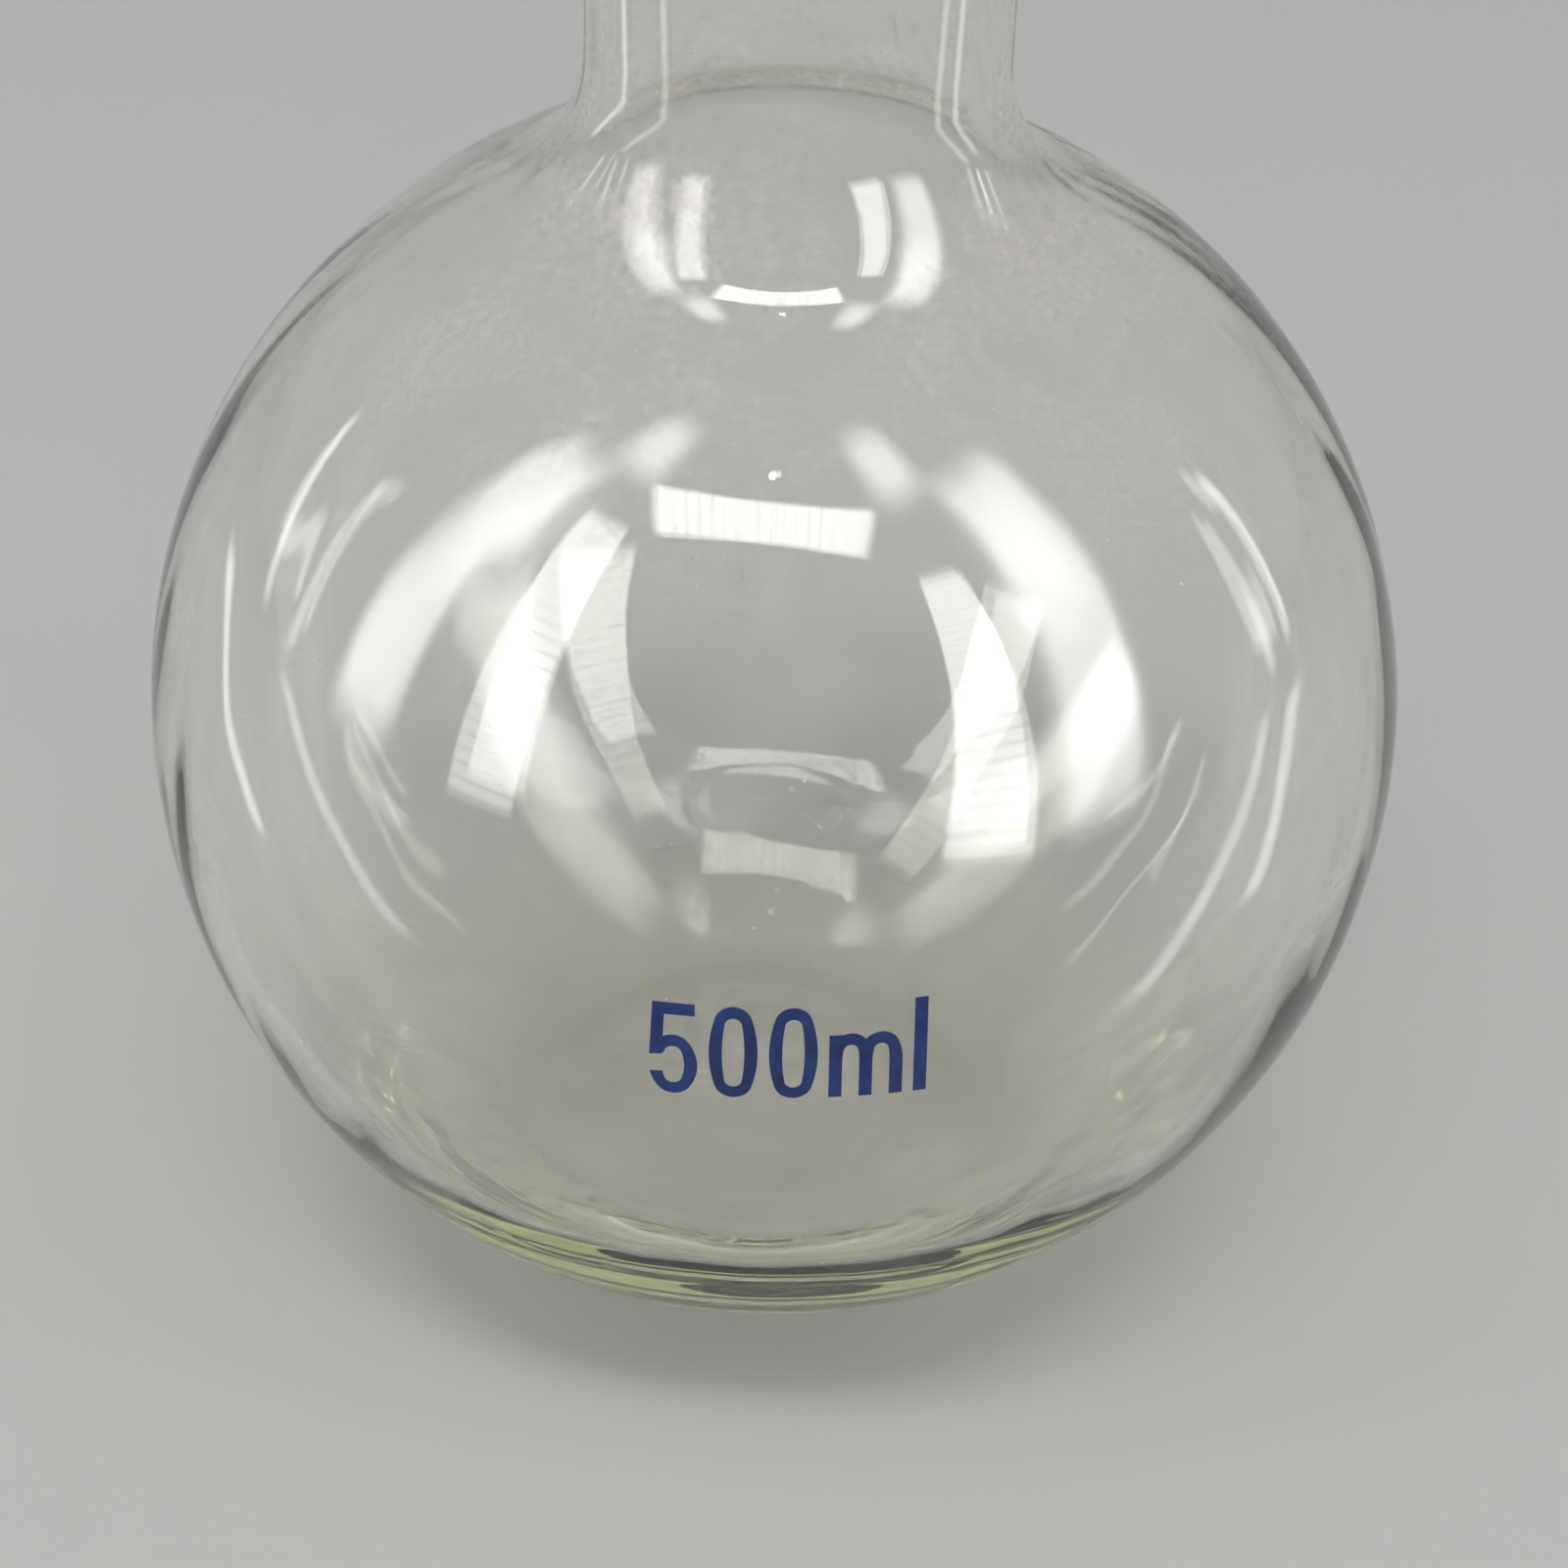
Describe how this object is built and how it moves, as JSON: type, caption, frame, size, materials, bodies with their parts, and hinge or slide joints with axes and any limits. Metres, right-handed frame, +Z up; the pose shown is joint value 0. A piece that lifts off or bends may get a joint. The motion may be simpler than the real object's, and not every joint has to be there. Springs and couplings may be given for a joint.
{
  "type": "boiling flask",
  "caption": "Clear glass boiling flask: round bulb with a small pressed flat foot, narrow neck, beaded rim, blue capacity mark.",
  "frame": {"origin": "centre of the resting plane under the foot", "axes": "+Z up along the neck and out of the mouth; -Y is the side with the capacity mark; +X is to the right of someone reading it"},
  "size_m": [0.105, 0.1051, 0.163],
  "materials": {
    "glass_bulb": "clear, fire-polished",
    "glass_neck": "clear, fire-polished",
    "glass_rim": "clear, fire-polished",
    "enamel": "fired enamel, satin"
  },
  "bodies": {
    "root": {"bulb": "glass_bulb", "neck": "glass_neck", "rim": "glass_rim", "mark_digit_5": "enamel", "mark_digit_0_left": "enamel", "mark_digit_0_right": "enamel", "mark_letter_m": "enamel", "mark_letter_l": "enamel"}
  },
  "joints": []
}
